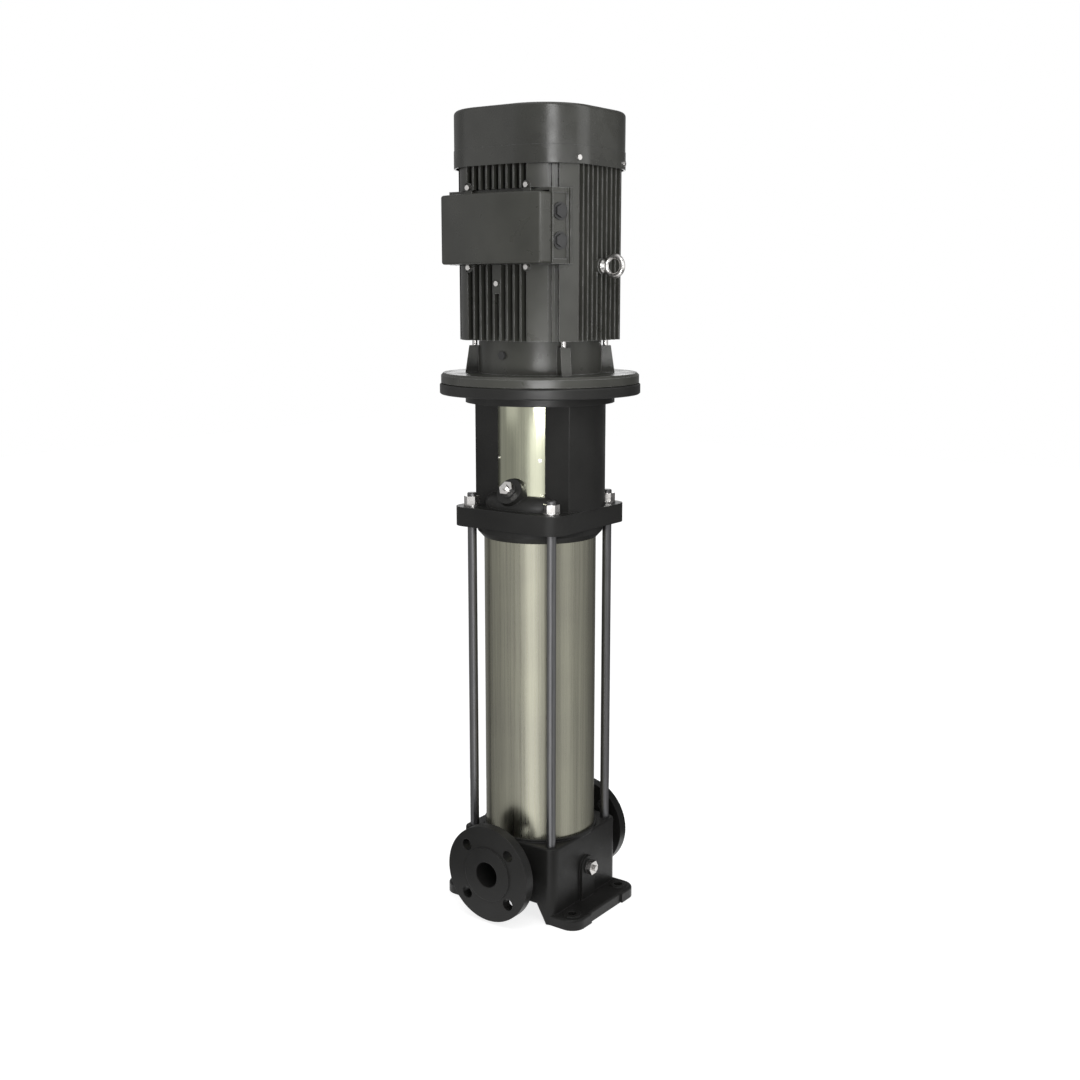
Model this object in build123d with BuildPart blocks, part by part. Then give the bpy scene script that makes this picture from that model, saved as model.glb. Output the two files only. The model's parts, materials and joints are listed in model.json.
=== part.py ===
"""Vertical multistage centrifugal pump with a flanged electric motor.

Frame: origin on the floor under the pump's axis, +Z up along the shaft, X through the two ports
(suction at -X, discharge at +X). The drain plug is on the -Y side, the terminal box on the -X side.
All sizes are in millimetres.
"""
from build123d import *
from math import cos, radians, sin
import os

os.makedirs("parts", exist_ok=True)

# ------------------------------------------------------------------ fits
gap = 0.3  # between separate pieces that stay clear of each other
slip = 0.1  # radial play of a fixed piece in its hole
running = 0.05  # radial play of a shaft in its bush
through = 2.0  # how far a cutting tool runs past a face

# ------------------------------------------------------------------ base casting
base_height = 122.0
body_width = 177.0
port_height = 80.0
face_to_face = 280.0
port_bore = 40.0
flange_diameter = 150.0
flange_thickness = 16.0
flange_pcd = 110.0
flange_hole = 18.0
flange_hole_count = 4
raised_face = 84.0
raised_height = 2.0
neck_diameter = 70.0
foot_thickness = 17.0
foot_hole_x = 130.0
foot_hole_y = 215.0
foot_hole = 13.5
foot_lug_radius = 22.0
foot_edge = 4.0
body_edge = 3.0
register_height = 4.0
register_wall = 4.0
foot_recess = 3.0
foot_spot_diameter = 27.0
foot_spot_height = 1.5
arch_height = 30.0
arch_width_floor = 150.0
arch_width_top = 115.0
well_floor = 40.0
well_ledge = 5.85
inlet_boss_wall = 7.0
inlet_bore = 80.0
inlet_boss_top = 108.0
duct_wall = 6.0
drain_height = 68.0
drain_pad_radius = 17.0
drain_pad_depth = 5.0

# ------------------------------------------------------------------ stay bolts
stay_spacing = 148.4
stay_diameter = 14.0
stay_depth = 25.0
stay_end = 5.5
nut_width = 21.0
nut_height = 12.5
washer_diameter = 25.0
washer_thickness = 2.5

# ------------------------------------------------------------------ sleeve
sleeve_play = 12.85
sleeve_wall = 2.0
sleeve_socket = 8.0
gasket_thickness = 2.0

# ------------------------------------------------------------------ pump head and motor stool
head_bottom = 588.0
head_collar_wall = 10.15
head_collar_taper = 9.0
plate_bottom = 606.0
plate_thickness = 29.0
plate_width = 196.0
plate_corner = 24.0
dome_foot_diameter = 168.0
dome_top_diameter = 136.0
dome_height = 20.5
dome_shoulder_diameter = 161.0
dome_shoulder_height = 12.5
head_cavity_height = 33.0
seal_chamber_diameter = 48.0
column_diameter = 199.0
column_width = 96.6
window_top = 792.0
collar_diameter = 225.0
collar_height = 12.6
stool_flange_diameter = 302.0
interface_height = 820.0
spigot_diameter = 230.0
spigot_depth = 4.0
flange_edge = 1.5
flange_step = 2.0

# ------------------------------------------------------------------ vent and drain plugs
plug_width = 20.0
plug_head = 9.0
plug_washer = 1.5
plug_washer_diameter = 23.0
plug_shank = 16.0
plug_reach = 13.0
spindle_width = 8.0
spindle_head = 4.0
spindle_shank = 6.0
vent_tilt = 35.0
vent_seat_radius = 79.0
vent_seat_height = 664.0
vent_boss_diameter = 42.0
vent_boss_length = 22.0

# ------------------------------------------------------------------ coupling guard
guard_diameter = 130.0
guard_wall = 1.5
guard_top = 803.0
guard_screw_height = 709.0
guard_screw_angle = 36.0
guard_screw_diameter = 6.0
guard_screw_head = 1.6

# ------------------------------------------------------------------ stages
stage_count = 10
stage_pitch = 45.0
stack_bottom = 118.0
chamber_diameter = 146.0
chamber_wall = 2.0
chamber_eye = 60.0
impeller_diameter = 116.0
impeller_height = 12.0
impeller_lift = 18.0
impeller_hub = 28.0
impeller_plate = 3.0
impeller_neck = 57.0
impeller_neck_wall = 2.5
blade_count = 6
blade_thickness = 2.5
blade_inlet = 22.0
blade_sweep = 55.0
bush_diameter = 30.0
bush_height = 20.0
inlet_plate = 4.0
clamp_ring_height = 6.0
top_chamber_play = 3.0

# ------------------------------------------------------------------ shaft seal
seal_cover_diameter = 92.0
seal_cover_thickness = 8.0
seal_seat_diameter = 38.0
seal_seat_height = 8.0
seal_ring_diameter = 34.0
seal_ring_height = 24.0

# ------------------------------------------------------------------ shafts and coupling
pump_shaft_diameter = 18.0
pump_shaft_bottom = 92.0
shaft_joint_height = 737.0
motor_shaft_end_gap = 3.0
motor_shaft_diameter = 38.0
coupling_diameter = 84.0
coupling_bottom = 690.0
coupling_top = 795.0
coupling_split = 3.0
coupling_screw = 8.0
coupling_screw_head = 13.0
coupling_screw_head_height = 6.5
coupling_screw_offset = 30.0
coupling_screw_pitch = 62.0
coupling_pin = 5.0
coupling_pin_length = 32.0

# ------------------------------------------------------------------ motor
motor_flange_thickness = 16.0
motor_flange_bevel = 3.5
bell_diameter = 184.0
bell_wall = 10.0
bell_floor = 30.0
rib_angle = 55.8
rib_width = 15.0
rib_reach_bottom = 112.0
rib_reach_top = 106.0
rib_height = 40.0
shield_bolt_circle = 196.0
shield_bolt = 8.0
shield_bolt_depth = 22.0
stool_screw_edge = 18.5
stool_screw = 10.0
stool_screw_head = 16.0
stool_screw_head_height = 10.0
stool_screw_count = 4
condensate_height = 864.0
condensate_width = 11.0
condensate_head = 4.0

housing_bottom = 885.0
housing_top = 1141.0
housing_flat = 212.0
housing_corner_diameter = 239.0
housing_core_diameter = 190.0
housing_bore = 152.0
fin_count = 8
fin_thickness = 3.0
fin_pitch = 12.0
groove_width = 15.5
groove_radius = 111.5
groove_bead = 4.0
eye_height = 991.0
eye_boss_diameter = 22.0
eye_boss_reach = 110.0
earth_pad_width = 15.0
earth_pad_bottom = 952.0
earth_height = 966.0

stator_core_length = 165.0
stator_core_bottom = 925.0
air_gap = 0.5
rotor_diameter = 100.0
winding_inner = 112.0
winding_outer = 144.0
winding_height = 22.0
bearing_bore = 40.0
bearing_ring = 58.0
drive_bearing_diameter = 90.0
drive_bearing_width = 23.0
drive_bearing_bottom = 827.0
fan_bearing_diameter = 80.0
fan_bearing_width = 18.0
fan_bearing_bottom = 1122.0
fan_shield_diameter = 210.0
fan_shield_thickness = 10.0
fan_shaft_diameter = 28.0

# ------------------------------------------------------------------ fan and cover
cover_bottom = 1130.0
motor_top = 1211.0
cover_width = 224.0
cover_corner = 77.0
cover_wall = 2.0
cover_band = 25.0
cover_band_step = 0.6
cover_edge = 6.0
cover_screw_x = 58.0
cover_screw_height = 1138.0
cover_screw = 5.0
cover_screw_head = 7.5
cover_screw_length = 11.0
grille_diameter = 168.0
grille_slot = 6.0
grille_pitch = 11.0
grille_rib = 9.0
fan_bottom = 1160.0
fan_height = 30.0
fan_diameter = 180.0
fan_hub = 46.0
fan_plate = 3.0
fan_blade = 3.0
fan_blade_count = 8

# ------------------------------------------------------------------ terminal box
box_centre_height = 1045.0
box_height = 104.0
box_face = 98.0
box_front_width = 184.0
box_side_width = 200.0
box_rim_width = 208.0
box_rim = 5.0
box_back = 66.0
box_pad = 88.0
box_step_width = 114.0
box_wall = 4.0
box_side_wall = 6.0
lid_centre_height = 1042.0
lid_height = 97.5
lid_width = 180.0
lid_edge_reach = 122.0
lid_reach = 134.0
lid_wall = 3.0
lid_gasket = 1.5
lid_corner = 7.0
lid_edge = 4.0
box_screw_y = 52.0
box_screw_rise = 56.0
box_screw = 4.0
box_screw_depth = 10.0
box_screw_head = 7.5
box_screw_head_height = 3.5
box_ear_radius = 6.5
lid_ear_thickness = 4.5
entry_head = 24.0
entry_bore = 20.0
entry_pitch = 40.0
entry_head_height = 2.0
entry_hexagon = 16.0
entry_hexagon_height = 3.0
entry_panel_height = 90.0
entry_panel_recess = 2.0
block_width = 60.0
block_height = 48.0
block_depth = 14.0
stud_width = 6.0
stud_length = 10.0
stud_pitch = 20.0

# ------------------------------------------------------------------ lifting eye
eye_ring_diameter = 36.0
eye_ring_bore = 20.0
eye_collar_diameter = 18.0
eye_collar_height = 5.0
eye_thread = 8.0
eye_thread_length = 13.0


# ------------------------------------------------------------------ worked out from the sizes above
body_half = body_width / 2
sleeve_diameter = chamber_diameter + 2 * sleeve_play
well_diameter = sleeve_diameter - 2 * well_ledge
inlet_boss_diameter = inlet_bore + 2 * inlet_boss_wall
head_collar_diameter = sleeve_diameter + 2 * head_collar_wall
motor_flange_diameter = stool_flange_diameter - 2 * flange_step
stool_screw_pcd = stool_flange_diameter - 2 * stool_screw_edge
port_reach = face_to_face / 2
sleeve_radius = sleeve_diameter / 2
plate_top = plate_bottom + plate_thickness
dome_top = plate_top + dome_height
guard_radius = guard_diameter / 2
shaft_radius = pump_shaft_diameter / 2
stage_levels = [stack_bottom + stage * stage_pitch for stage in range(stage_count)]
stack_top = stack_bottom + stage_count * stage_pitch
head_cavity_top = head_bottom + head_cavity_height


def turned(*points):
    """A closed outline of (radius, height) points, to be revolved about the pump's axis."""
    with BuildSketch(Plane.XZ) as outline:
        with BuildLine():
            Polyline(*points, close=True)
        make_face()
    return outline.sketch


def ring(inner, outer, bottom, top, mode=Mode.ADD):
    """Adds or cuts an upright ring; the first two sizes are radii, and an inner one of 0 is solid."""
    with BuildSketch(Plane.XY.offset(bottom)) as area:
        Circle(outer)
        if inner > 0:
            Circle(inner, mode=Mode.SUBTRACT)
    extrude(area.sketch, amount=top - bottom, mode=mode)


def finish(piece, label):
    """Names a finished piece and writes it to its own file."""
    piece.part.label = label
    export_step(piece.part, f"parts/{label}.step")


# ================================================================== base casting
register_top = base_height + register_height
with BuildPart() as base_casting:
    # two foot strips with rounded lugs at their ends
    with BuildSketch():
        Rectangle(foot_hole_x + 2 * foot_lug_radius, foot_hole_y)
        with Locations((0, foot_hole_y / 2), (0, -foot_hole_y / 2)):
            SlotCenterToCenter(foot_hole_x, 2 * foot_lug_radius)
        with Locations((0, foot_hole_y / 2 + foot_lug_radius), (0, -foot_hole_y / 2 - foot_lug_radius)):
            Rectangle(foot_hole_x - 2 * foot_lug_radius, 2 * foot_recess, mode=Mode.SUBTRACT)
    extrude(amount=foot_thickness)
    fillet(base_casting.edges().group_by(Axis.Z)[-1], radius=foot_edge)
    with BuildSketch(Plane.XY.offset(foot_thickness)):
        with GridLocations(foot_hole_x, foot_hole_y, 2, 2):
            Circle(foot_spot_diameter / 2)
    extrude(amount=foot_spot_height)
    with BuildSketch():
        RectangleRounded(body_width, body_width, body_half - stay_spacing / 2)
    extrude(amount=base_height)
    fillet(base_casting.edges().group_by(Axis.Z)[-1], radius=body_edge)
    # register that stands up round the sleeve
    ring(0, sleeve_radius + register_wall, base_height - body_edge, register_top)
    # drain pad with a round top, standing on the foot
    with BuildSketch(Plane.XZ.offset(body_half)):
        with Locations((0, drain_height)):
            Circle(drain_pad_radius)
        with Locations((0, (foot_thickness + drain_height) / 2)):
            Rectangle(2 * drain_pad_radius, drain_height - foot_thickness)
    extrude(amount=drain_pad_depth)
    # ports
    for side in (-1, 1):
        face = Plane(origin=(side * port_reach, 0, port_height), x_dir=(0, 1, 0), z_dir=(-side, 0, 0))
        with BuildSketch(face):
            Circle(raised_face / 2)
        extrude(amount=raised_height)
        with BuildSketch(face.offset(raised_height)):
            Circle(flange_diameter / 2)
        extrude(amount=flange_thickness)
        with BuildSketch(face.offset(raised_height + flange_thickness)):
            Circle(neck_diameter / 2)
        extrude(amount=port_reach - raised_height - flange_thickness - well_diameter / 2)
        with BuildSketch(face):
            with PolarLocations(flange_pcd / 2, flange_hole_count, start_angle=180 / flange_hole_count):
                Circle(flange_hole / 2)
        extrude(amount=raised_height + flange_thickness + through, mode=Mode.SUBTRACT)
    # discharge chamber: a ring-shaped well round the inlet boss
    ring(inlet_boss_diameter / 2, well_diameter / 2, well_floor, register_top, Mode.SUBTRACT)
    ring(0, inlet_boss_diameter / 2, inlet_boss_top, register_top, Mode.SUBTRACT)
    # suction duct across the well
    with BuildSketch(Plane.YZ.offset(-body_half)):
        with Locations((0, port_height)):
            Circle(port_bore / 2 + duct_wall)
    extrude(amount=body_half - inlet_bore / 2 - slip)
    ring(0, inlet_bore / 2, well_floor, inlet_boss_top, Mode.SUBTRACT)
    with BuildSketch(Plane.YZ.offset(-port_reach)):
        with Locations((0, port_height)):
            Circle(port_bore / 2)
    extrude(amount=port_reach - inlet_bore / 2 + well_floor / 4, mode=Mode.SUBTRACT)
    with BuildSketch(Plane.YZ.offset(well_diameter / 2 - port_bore / 4)):
        with Locations((0, port_height)):
            Circle(port_bore / 2)
    extrude(amount=port_reach, mode=Mode.SUBTRACT)
    # socket of the sleeve
    ring(
        sleeve_radius - sleeve_wall - slip,
        sleeve_radius + slip,
        register_top - sleeve_socket,
        register_top,
        Mode.SUBTRACT,
    )
    # arch under the body, along X
    with BuildSketch(Plane.YZ.offset(-body_half)):
        with BuildLine():
            Polyline(
                (-arch_width_floor / 2, 0),
                (arch_width_floor / 2, 0),
                (arch_width_top / 2, arch_height),
                (-arch_width_top / 2, arch_height),
                close=True,
            )
        make_face()
    extrude(amount=body_width, mode=Mode.SUBTRACT)
    # threaded holes of the stay bolts, foot holes and drain hole
    with BuildSketch(Plane.XY.offset(base_height - stay_depth)):
        with GridLocations(stay_spacing, stay_spacing, 2, 2):
            Circle(stay_diameter / 2 + slip)
    extrude(amount=stay_depth, mode=Mode.SUBTRACT)
    with BuildSketch():
        with GridLocations(foot_hole_x, foot_hole_y, 2, 2):
            Circle(foot_hole / 2)
    extrude(amount=foot_thickness + foot_spot_height, mode=Mode.SUBTRACT)
    with BuildSketch(Plane.XZ.offset(body_half + drain_pad_depth)):
        with Locations((0, drain_height)):
            Circle(plug_shank / 2 + slip)
    extrude(amount=-(body_half + drain_pad_depth - well_diameter / 2 + plug_shank / 4), mode=Mode.SUBTRACT)
finish(base_casting, "base_casting")

# ================================================================== sleeve
sleeve_bottom = register_top - sleeve_socket + gasket_thickness
sleeve_top = head_bottom + sleeve_socket - gasket_thickness
with BuildPart() as outer_sleeve:
    ring(sleeve_radius - sleeve_wall, sleeve_radius, sleeve_bottom, sleeve_top)
finish(outer_sleeve, "outer_sleeve")

with BuildPart() as sleeve_gaskets:
    ring(sleeve_radius - sleeve_wall, sleeve_radius, sleeve_bottom - gasket_thickness, sleeve_bottom)
    ring(sleeve_radius - sleeve_wall, sleeve_radius, sleeve_top, head_bottom + sleeve_socket)
finish(sleeve_gaskets, "sleeve_gaskets")

# ================================================================== pump head with the motor stool
vent_axis = Vector(-cos(radians(vent_tilt)), 0, sin(radians(vent_tilt)))
vent_seat = Plane(
    origin=(-vent_seat_radius, 0, vent_seat_height), x_dir=(0, 1, 0), z_dir=vent_axis
)
stool_flange_bottom = window_top + collar_height
stool_screw_seat = stool_flange_bottom + stool_screw_head_height + gap
with BuildPart() as pump_head:
    # collar that takes the sleeve, with the plate on it
    revolve(
        turned(
            (0, head_bottom),
            (sleeve_radius + sleeve_wall, head_bottom),
            (head_collar_diameter / 2, head_bottom + head_collar_taper),
            (head_collar_diameter / 2, plate_bottom),
            (0, plate_bottom),
        ),
        axis=Axis.Z,
    )
    with BuildSketch(Plane.XY.offset(plate_bottom)):
        RectangleRounded(plate_width, plate_width, plate_corner)
    extrude(amount=plate_thickness)
    # two curved columns, open to both ports, under the collar and the motor flange
    with BuildSketch(Plane.XY.offset(plate_top)):
        Circle(column_diameter / 2)
        Circle(guard_radius + gap, mode=Mode.SUBTRACT)
        Rectangle(column_width, column_diameter, mode=Mode.INTERSECT)
    extrude(amount=window_top - plate_top)
    revolve(
        turned(
            (0, window_top),
            (collar_diameter / 2, window_top),
            (collar_diameter / 2, stool_flange_bottom),
            (stool_flange_diameter / 2 - flange_edge, stool_flange_bottom),
            (stool_flange_diameter / 2, stool_flange_bottom + flange_edge),
            (stool_flange_diameter / 2, interface_height - flange_edge),
            (stool_flange_diameter / 2 - flange_edge, interface_height),
            (0, interface_height),
        ),
        axis=Axis.Z,
    )
    # dome over the water space
    with BuildSketch(Plane.XZ):
        with BuildLine():
            ThreePointArc(
                (dome_foot_diameter / 2, plate_top),
                (dome_shoulder_diameter / 2, plate_top + dome_shoulder_height),
                (dome_top_diameter / 2, dome_top),
            )
            Polyline(
                (dome_top_diameter / 2, dome_top),
                (0, dome_top),
                (0, plate_top),
                (dome_foot_diameter / 2, plate_top),
            )
        make_face()
    revolve(axis=Axis.Z)
    # vent boss
    with BuildSketch(vent_seat):
        Circle(vent_boss_diameter / 2)
    extrude(amount=-vent_boss_length)
    ring(0, guard_radius + gap, window_top, interface_height, Mode.SUBTRACT)
    # water space, sleeve socket, seal chamber and motor register
    ring(0, well_diameter / 2, head_bottom, head_cavity_top, Mode.SUBTRACT)
    ring(
        sleeve_radius - sleeve_wall - slip,
        sleeve_radius + slip,
        head_bottom,
        head_bottom + sleeve_socket,
        Mode.SUBTRACT,
    )
    ring(0, seal_chamber_diameter / 2, head_cavity_top, dome_top, Mode.SUBTRACT)
    ring(0, spigot_diameter / 2, interface_height - spigot_depth, interface_height, Mode.SUBTRACT)
    # spot faces of the washers
    with BuildSketch(Plane.XY.offset(plate_top)):
        with GridLocations(stay_spacing, stay_spacing, 2, 2):
            Circle(washer_diameter / 2 + gap)
    extrude(amount=dome_height, mode=Mode.SUBTRACT)
    # holes of the vent plug, the stay bolts and the flange screws
    with BuildSketch(vent_seat):
        Circle(plug_shank / 2 + slip)
    extrude(amount=-(plug_reach + gap), mode=Mode.SUBTRACT)
    with BuildSketch(Plane.XY.offset(plate_bottom)):
        with GridLocations(stay_spacing, stay_spacing, 2, 2):
            Circle(stay_diameter / 2 + gap)
    extrude(amount=plate_thickness, mode=Mode.SUBTRACT)
    with BuildSketch(Plane.XY.offset(stool_flange_bottom)):
        with PolarLocations(stool_screw_pcd / 2, stool_screw_count, start_angle=45):
            Circle(stool_screw_head / 2 + gap)
    extrude(amount=stool_screw_seat - stool_flange_bottom, mode=Mode.SUBTRACT)
    with BuildSketch(Plane.XY.offset(stool_screw_seat)):
        with PolarLocations(stool_screw_pcd / 2, stool_screw_count, start_angle=45):
            Circle(stool_screw / 2 + slip)
    extrude(amount=interface_height - stool_screw_seat, mode=Mode.SUBTRACT)
finish(pump_head, "pump_head")

# ================================================================== stay bolts, washers and nuts
washer_top = plate_top + washer_thickness
nut_top = washer_top + nut_height
with BuildPart() as stay_bolts:
    with BuildSketch(Plane.XY.offset(base_height - stay_depth)):
        with GridLocations(stay_spacing, stay_spacing, 2, 2):
            Circle(stay_diameter / 2)
    extrude(amount=nut_top + stay_end - base_height + stay_depth)
    chamfer(stay_bolts.edges().group_by(Axis.Z)[-1], length=stay_diameter / 10)
finish(stay_bolts, "stay_bolts")

with BuildPart() as stay_washers:
    with BuildSketch(Plane.XY.offset(plate_top)):
        with GridLocations(stay_spacing, stay_spacing, 2, 2):
            Circle(washer_diameter / 2)
            Circle(stay_diameter / 2 + slip, mode=Mode.SUBTRACT)
    extrude(amount=washer_thickness)
finish(stay_washers, "stay_washers")

with BuildPart() as stay_nuts:
    with BuildSketch(Plane.XY.offset(washer_top)):
        with GridLocations(stay_spacing, stay_spacing, 2, 2):
            RegularPolygon(nut_width / 2, 6, major_radius=False)
            Circle(stay_diameter / 2 + slip, mode=Mode.SUBTRACT)
    extrude(amount=nut_height)
finish(stay_nuts, "stay_nuts")


# ================================================================== vent and drain plugs
drain_face = body_half + drain_pad_depth
drain_seat = Plane(origin=(0, -drain_face, drain_height), x_dir=(1, 0, 0), z_dir=(0, -1, 0))


def hexagon_plug(seat):
    """Adds a hexagon plug over the seat plane, bored for its spindle."""
    with BuildSketch(seat.offset(plug_washer)) as head:
        RegularPolygon(plug_width / 2, 6, major_radius=False)
    extrude(head.sketch, amount=plug_head)
    with BuildSketch(seat.offset(-plug_reach)) as shank:
        Circle(plug_shank / 2)
    extrude(shank.sketch, amount=plug_reach + plug_washer)
    with BuildSketch(seat.offset(-plug_reach)) as bore:
        Circle(spindle_shank / 2 + running)
    extrude(bore.sketch, amount=plug_reach + plug_washer + plug_head, mode=Mode.SUBTRACT)


def plug_spindle(seat):
    """Adds the small spindle that turns in a plug's bore."""
    with BuildSketch(seat.offset(plug_washer + plug_head + gap)) as head:
        RegularPolygon(spindle_width / 2, 6, major_radius=False)
    extrude(head.sketch, amount=spindle_head)
    with BuildSketch(seat.offset(-plug_reach + gap)) as shank:
        Circle(spindle_shank / 2)
    extrude(shank.sketch, amount=plug_reach + plug_washer + plug_head)


def plug_seal(seat):
    """Adds the flat washer under a plug's head."""
    with BuildSketch(seat) as area:
        Circle(plug_washer_diameter / 2)
        Circle(plug_shank / 2 + slip, mode=Mode.SUBTRACT)
    extrude(area.sketch, amount=plug_washer)


with BuildPart() as vent_plug:
    hexagon_plug(vent_seat)
finish(vent_plug, "vent_plug")

with BuildPart() as vent_screw:
    plug_spindle(vent_seat)
finish(vent_screw, "vent_screw")

with BuildPart() as drain_plug:
    hexagon_plug(drain_seat)
finish(drain_plug, "drain_plug")

with BuildPart() as bypass_spindle:
    plug_spindle(drain_seat)
finish(bypass_spindle, "bypass_spindle")

with BuildPart() as plug_washers:
    plug_seal(vent_seat)
    plug_seal(drain_seat)
finish(plug_washers, "plug_washers")


# ================================================================== coupling guard
def radial_plane(angle, radius, height):
    """A plane that faces outward from the pump's axis."""
    out = Vector(cos(radians(angle)), sin(radians(angle)), 0)
    return Plane(origin=out * radius + Vector(0, 0, height), x_dir=(0, 0, 1), z_dir=out)


guard_screw_seats = [
    radial_plane(centre + offset, guard_radius, guard_screw_height)
    for centre in (0, 180)
    for offset in (-guard_screw_angle, guard_screw_angle)
]
guard_screw_shank = guard_screw_diameter / 4
for side, label in ((-1, "coupling_guard_front"), (1, "coupling_guard_rear")):
    with BuildPart() as coupling_guard:
        ring(guard_radius - guard_wall, guard_radius, dome_top, guard_top)
        split(bisect_by=Plane.YZ.offset(side * gap / 2), keep=Keep.TOP if side > 0 else Keep.BOTTOM)
        # notch round the vent boss
        with BuildSketch(vent_seat.offset(-vent_boss_length)):
            Circle(vent_boss_diameter / 2 + gap)
        extrude(amount=2 * vent_boss_length, mode=Mode.SUBTRACT)
        for seat in guard_screw_seats:
            with BuildSketch(seat.offset(-2 * guard_wall)) as hole:
                Circle(guard_screw_shank + slip)
            extrude(hole.sketch, amount=3 * guard_wall, mode=Mode.SUBTRACT)
    finish(coupling_guard, label)

with BuildPart() as guard_screws:
    for seat in guard_screw_seats:
        with BuildSketch(seat) as head:
            RegularPolygon(guard_screw_diameter / 2, 6)
        extrude(head.sketch, amount=guard_screw_head)
        with BuildSketch(seat.offset(-2 * guard_wall)) as shank:
            Circle(guard_screw_shank)
        extrude(shank.sketch, amount=2 * guard_wall)
finish(guard_screws, "guard_screws")

# ================================================================== stage stack
bush_seat = bush_diameter / 2 + slip
bush_bottom = stack_bottom - inlet_plate - bush_height
with BuildPart() as inlet_piece:
    revolve(
        turned(
            (chamber_eye / 2, inlet_boss_top - sleeve_socket),
            (inlet_bore / 2 - slip, inlet_boss_top - sleeve_socket),
            (inlet_bore / 2 - slip, inlet_boss_top),
            (inlet_boss_diameter / 2, inlet_boss_top),
            (inlet_boss_diameter / 2, stack_bottom - inlet_plate),
            (chamber_diameter / 2, stack_bottom - inlet_plate),
            (chamber_diameter / 2, stack_bottom),
            (chamber_eye / 2, stack_bottom),
        ),
        axis=Axis.Z,
    )
    # three arms that carry the bottom bush
    with BuildSketch(Plane.XY.offset(inlet_boss_top)):
        with PolarLocations(bush_diameter / 2 + inlet_plate / 2, 3):
            Rectangle(chamber_eye / 2, inlet_plate, align=(Align.MIN, Align.CENTER))
        Circle(bush_seat + inlet_plate)
        Circle(bush_seat, mode=Mode.SUBTRACT)
    extrude(amount=stack_bottom - inlet_boss_top - inlet_plate)
finish(inlet_piece, "inlet_piece")

with BuildPart() as bottom_bush:
    ring(shaft_radius + running, bush_diameter / 2, bush_bottom, bush_bottom + bush_height)
finish(bottom_bush, "bottom_bush")

with BuildPart() as chamber:
    with BuildSketch():
        Circle(chamber_diameter / 2)
        Circle(chamber_eye / 2, mode=Mode.SUBTRACT)
    extrude(amount=stage_pitch - gap)
    with BuildSketch(Plane.XY.offset(chamber_wall)):
        Circle(chamber_diameter / 2 - chamber_wall)
    extrude(amount=stage_pitch - chamber_wall, mode=Mode.SUBTRACT)
with BuildPart() as stage_chambers:
    with Locations(*[(0, 0, level) for level in stage_levels]):
        add(chamber.part)
finish(stage_chambers, "stage_chambers")


def blade_outline():
    """One backward-leaning curved blade between the eye and the rim."""
    rim = impeller_diameter / 2 - blade_thickness / 4
    middle = (blade_inlet + rim) / 2
    lean = radians(blade_sweep)
    start, centre, end = [
        Vector(radius * cos(turn), -radius * sin(turn))
        for radius, turn in ((blade_inlet, 0), (middle, lean * 0.4), (rim, lean))
    ]
    shift = Vector(0, blade_thickness)
    with BuildSketch() as outline:
        with BuildLine():
            ThreePointArc(start, centre, end)
            Line(end, end + shift.rotate(Axis.Z, -blade_sweep))
            ThreePointArc(
                end + shift.rotate(Axis.Z, -blade_sweep),
                centre + shift.rotate(Axis.Z, -blade_sweep / 2),
                start + shift,
            )
            Line(start + shift, start)
        make_face()
    return outline.sketch


blade_bottom = impeller_lift - impeller_height
neck_inside = impeller_neck / 2 - impeller_neck_wall
with BuildPart() as impeller:
    ring(0, impeller_hub / 2, 0, stage_pitch - gap)
    ring(0, impeller_diameter / 2, impeller_lift, impeller_lift + impeller_plate)
    ring(neck_inside, impeller_diameter / 2, blade_bottom - impeller_plate, blade_bottom)
    ring(neck_inside, impeller_neck / 2, 0, blade_bottom)
    with BuildSketch(Plane.XY.offset(blade_bottom)):
        with PolarLocations(0, blade_count):
            add(blade_outline())
    extrude(amount=impeller_height)
    ring(0, shaft_radius + slip, 0, stage_pitch, Mode.SUBTRACT)
with BuildPart() as impellers:
    with Locations(*[(0, 0, level) for level in stage_levels]):
        add(impeller.part)
finish(impellers, "impellers")

clamp_bottom = head_cavity_top - clamp_ring_height
top_chamber_bore = seal_ring_diameter / 2 + top_chamber_play
with BuildPart() as top_chamber:
    revolve(
        turned(
            (top_chamber_bore, clamp_bottom),
            (chamber_diameter / 2, clamp_bottom),
            (chamber_diameter / 2, stack_top),
            (chamber_diameter / 2 - chamber_wall, stack_top),
            (chamber_diameter / 2 - chamber_wall, clamp_bottom - inlet_plate),
            (top_chamber_bore, clamp_bottom - inlet_plate),
        ),
        axis=Axis.Z,
    )
    with BuildSketch(Plane.XY.offset(stack_top + inlet_plate)):
        with PolarLocations(chamber_diameter / 2, 4):
            Rectangle(chamber_diameter / 4, chamber_diameter / 3)
    extrude(amount=(clamp_bottom - stack_top) / 2, mode=Mode.SUBTRACT)
finish(top_chamber, "top_chamber")

with BuildPart() as clamp_ring:
    ring(chamber_eye / 2, chamber_diameter / 2 - 2 * inlet_plate, clamp_bottom, head_cavity_top)
finish(clamp_ring, "clamp_ring")

# ================================================================== shaft seal
seal_bore = shaft_radius + gap + slip
seal_face = dome_top - inlet_plate
with BuildPart() as seal_cover:
    revolve(
        turned(
            (seal_bore + 2 * slip, dome_top + seal_cover_thickness),
            (seal_cover_diameter / 2, dome_top + seal_cover_thickness),
            (seal_cover_diameter / 2, dome_top),
            (seal_chamber_diameter / 2 - slip, dome_top),
            (seal_chamber_diameter / 2 - slip, seal_face - seal_seat_height),
            (seal_seat_diameter / 2 + slip, seal_face - seal_seat_height),
            (seal_seat_diameter / 2 + slip, seal_face),
            (seal_bore + 2 * slip, seal_face),
        ),
        axis=Axis.Z,
    )
finish(seal_cover, "seal_cover")

with BuildPart() as seal_seat:
    ring(seal_bore, seal_seat_diameter / 2, seal_face - seal_seat_height, seal_face)
finish(seal_seat, "seal_seat")

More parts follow.
